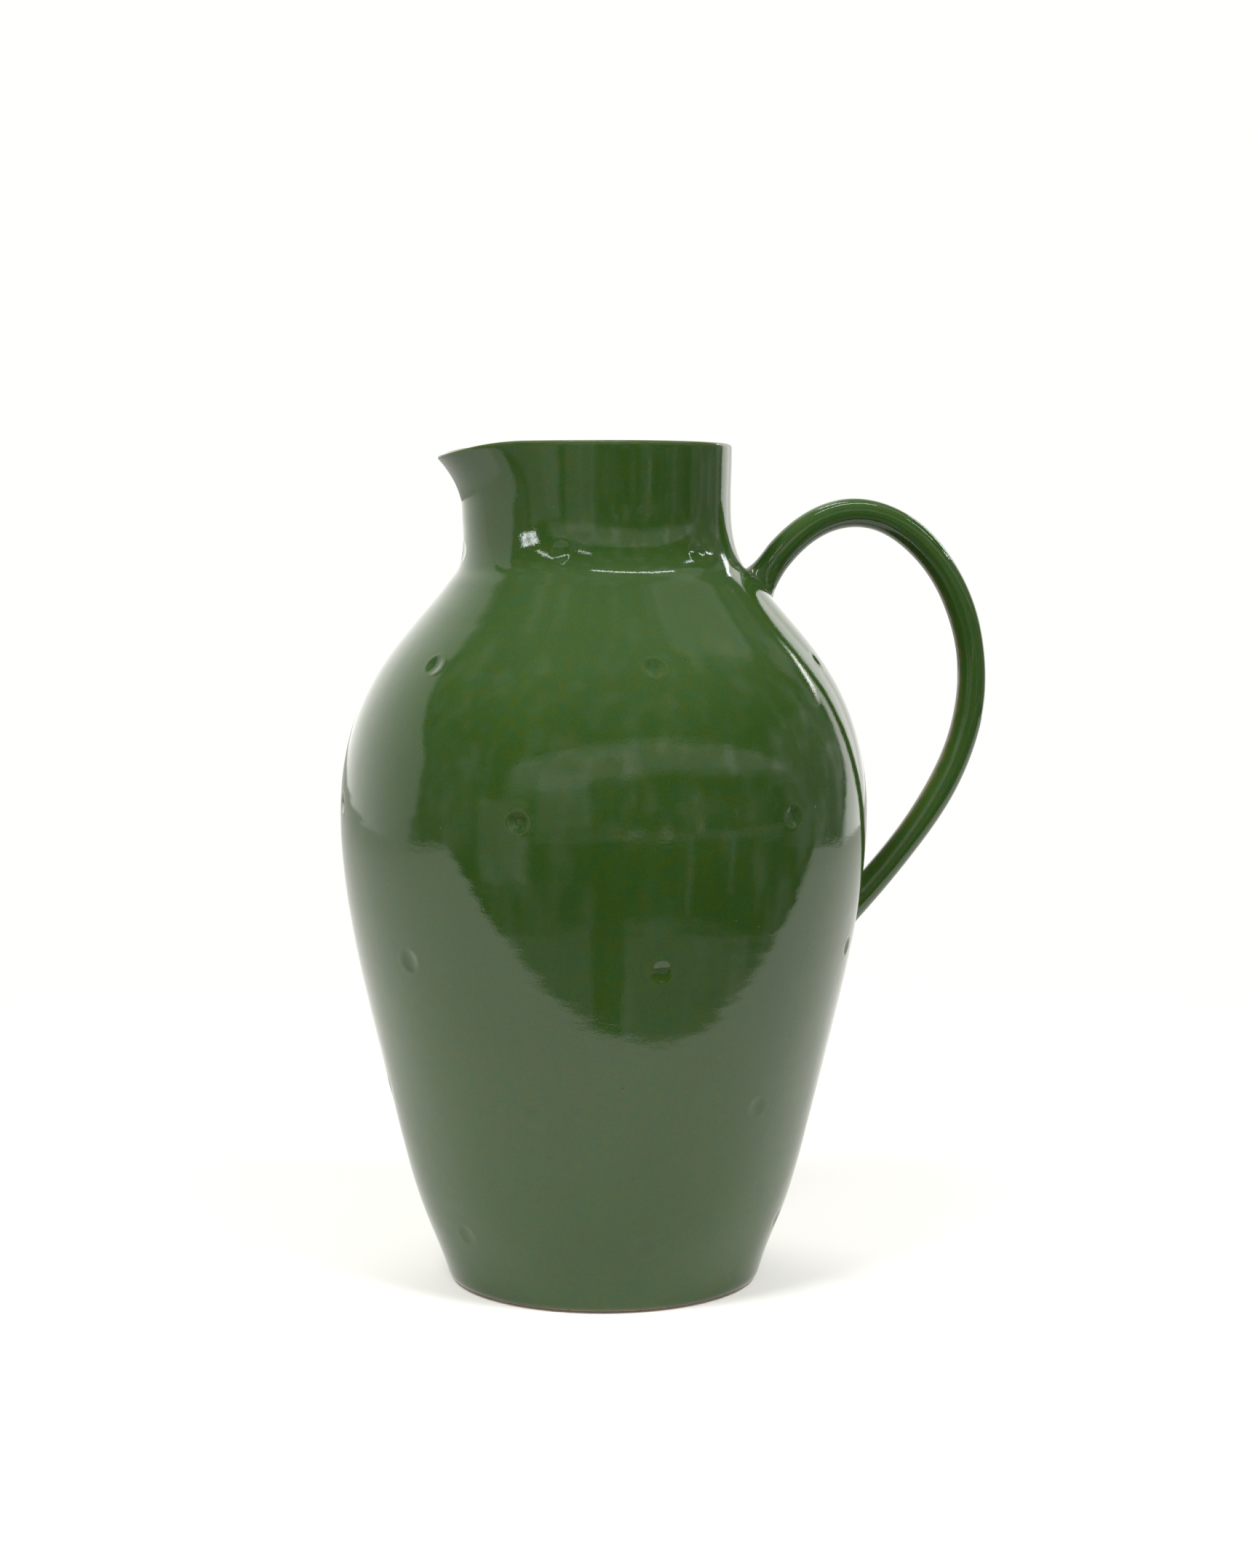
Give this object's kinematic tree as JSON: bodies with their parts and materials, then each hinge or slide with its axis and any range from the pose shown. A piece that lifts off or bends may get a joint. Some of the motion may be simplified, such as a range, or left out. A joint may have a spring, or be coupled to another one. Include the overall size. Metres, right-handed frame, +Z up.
{
  "type": "ceramic pitcher",
  "caption": "Round-bellied glazed stoneware pitcher with a narrow neck, a pulled pouring lip, a bowed round side handle and rows of small pressed dimples.",
  "frame": {"origin": "centre of the flat underside, on the table", "axes": "+Z up the pitcher's axis, +X towards the handle, -X towards the spout"},
  "size_m": [0.2382, 0.1878, 0.3],
  "materials": {
    "stoneware_clay": "matt, bare fired stoneware",
    "green_glaze": "high gloss, deep moss green",
    "liner_glaze": "gloss, the same green poured inside"
  },
  "bodies": {
    "root": {"clay_body": "stoneware_clay", "handle": "stoneware_clay", "upper_handle_joint": "stoneware_clay", "lower_handle_joint": "stoneware_clay", "outer_glaze": "green_glaze", "handle_glaze": "green_glaze", "inner_glaze": "liner_glaze"}
  },
  "joints": []
}
